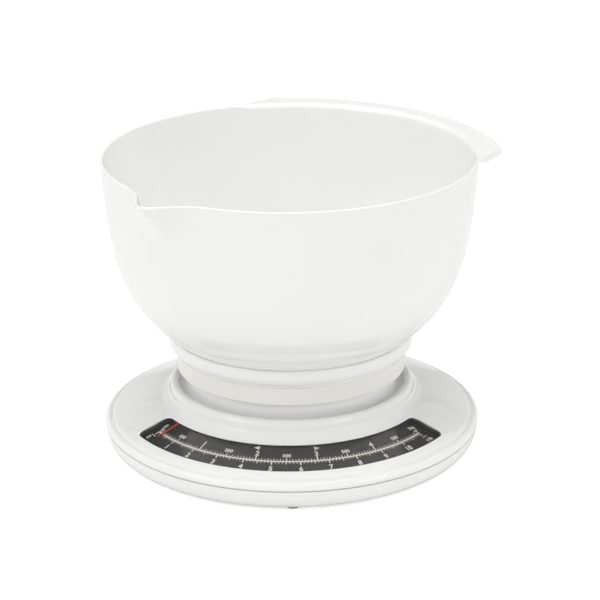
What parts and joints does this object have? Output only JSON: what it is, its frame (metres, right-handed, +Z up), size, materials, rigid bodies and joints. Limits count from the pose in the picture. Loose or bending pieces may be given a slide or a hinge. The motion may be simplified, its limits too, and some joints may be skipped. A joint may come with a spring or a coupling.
{
  "type": "kitchen scale",
  "caption": "Mechanical kitchen scale: lift-off mixing bowl on a sprung round platform over a low round base, with a pointer under a curved window.",
  "frame": {"origin": "on the table at the centre of the round base", "axes": "+Z up, the window and dial face -Y, +X to the right as seen from the front"},
  "size_m": [0.2425, 0.2426, 0.183],
  "materials": {
    "white_plastic": "glossy moulded white",
    "cream_plastic": "satin moulded off-white",
    "grey_plastic": "satin moulded grey",
    "sheet_steel": "stamped zinc-plated sheet",
    "zinc_steel": "bright zinc-plated",
    "spring_steel": "drawn wire",
    "gear_brass": "hobbed brass",
    "red_paint": "red painted blade",
    "black_print": "black printed sheet",
    "clear_lens": "clear moulded",
    "grey_rubber": "matte grey"
  },
  "bodies": {
    "base": {"base_tray": "white_plastic", "top_shell": "white_plastic", "window_lens": "clear_lens", "dial_plate": "black_print", "dial_screws": "zinc_steel", "shell_screws": "zinc_steel", "feet": "grey_rubber", "mechanism_frame": "sheet_steel", "frame_screws": "zinc_steel", "gear_bracket": "sheet_steel", "bracket_screws": "zinc_steel", "spindle_bridge": "sheet_steel", "bridge_screws": "zinc_steel", "upper_frame_pin": "zinc_steel", "lower_frame_pin": "zinc_steel", "pin_clips": "zinc_steel", "spring_posts": "zinc_steel", "spring_left": "spring_steel", "spring_right": "spring_steel"},
    "platform": {"platform_cup": "white_plastic", "platform_skirt": "cream_plastic", "platform_screws": "zinc_steel", "carrier": "sheet_steel", "rack": "gear_brass", "rack_screws": "zinc_steel", "upper_carrier_pins": "zinc_steel", "lower_carrier_pins": "zinc_steel"},
    "bowl": {"bowl": "white_plastic"},
    "upper_arm": {"upper_arm": "sheet_steel"},
    "lower_arm": {"lower_arm": "sheet_steel"},
    "drive_wheel": {"drive_wheel": "gear_brass", "drive_shaft": "zinc_steel", "shaft_clip": "zinc_steel"},
    "spindle": {"spindle": "zinc_steel", "spindle_pinion": "gear_brass", "pointer": "red_paint"},
    "zero_knob": {"zero_knob": "zinc_steel"},
    "zero_yoke": {"zero_yoke": "grey_plastic"}
  },
  "joints": [
    {"name": "platform_travel", "type": "slide", "parent": "base", "child": "platform", "axis": [0, 0, -1], "range_m": [0, 0.006], "stiffness_N_per_m": 8200, "springref_m": -0.0016, "deforming": ["spring_left", "spring_right"]},
    {"name": "bowl_lift", "type": "slide", "parent": "platform", "child": "bowl", "axis": [0, 0, 1], "range_m": [0, 0.15]},
    {"name": "upper_arm_pivot", "type": "hinge", "parent": "base", "child": "upper_arm", "pos_m": [0, 0.05, 0.04], "axis": [1, 0, 0], "range_deg": [0, 8.7]},
    {"name": "lower_arm_pivot", "type": "hinge", "parent": "base", "child": "lower_arm", "pos_m": [0, 0.05, 0.015], "axis": [1, 0, 0], "range_deg": [0, 8.7]},
    {"name": "drive_wheel_turn", "type": "hinge", "parent": "base", "child": "drive_wheel", "pos_m": [0, 0.01, 0.0285], "axis": [0, 1, 0], "range_deg": [0, 28.8]},
    {"name": "pointer_turn", "type": "hinge", "parent": "base", "child": "spindle", "pos_m": [0, 0, 0.02], "axis": [0, 0, 1], "range_deg": [0, 115]},
    {"name": "zero_knob_turn", "type": "hinge", "parent": "platform", "child": "zero_knob", "pos_m": [0, 0.026, 0.0596], "axis": [0, 0, 1], "range_deg": [-540, 540]},
    {"name": "zero_yoke_shift", "type": "slide", "parent": "platform", "child": "zero_yoke", "axis": [0, 0, 1], "range_m": [-0.00152, 0.00152], "deforming": ["spring_left", "spring_right"]}
  ],
  "couplings": [
    {"joint": "upper_arm_pivot", "follows": "platform_travel", "rad_per_m": 25},
    {"joint": "lower_arm_pivot", "follows": "platform_travel", "rad_per_m": 25},
    {"joint": "drive_wheel_turn", "follows": "platform_travel", "rad_per_m": 83.333},
    {"joint": "pointer_turn", "follows": "platform_travel", "rad_per_m": 333.33},
    {"joint": "zero_yoke_shift", "follows": "zero_knob_turn", "m_per_rad": 0.00015915}
  ]
}
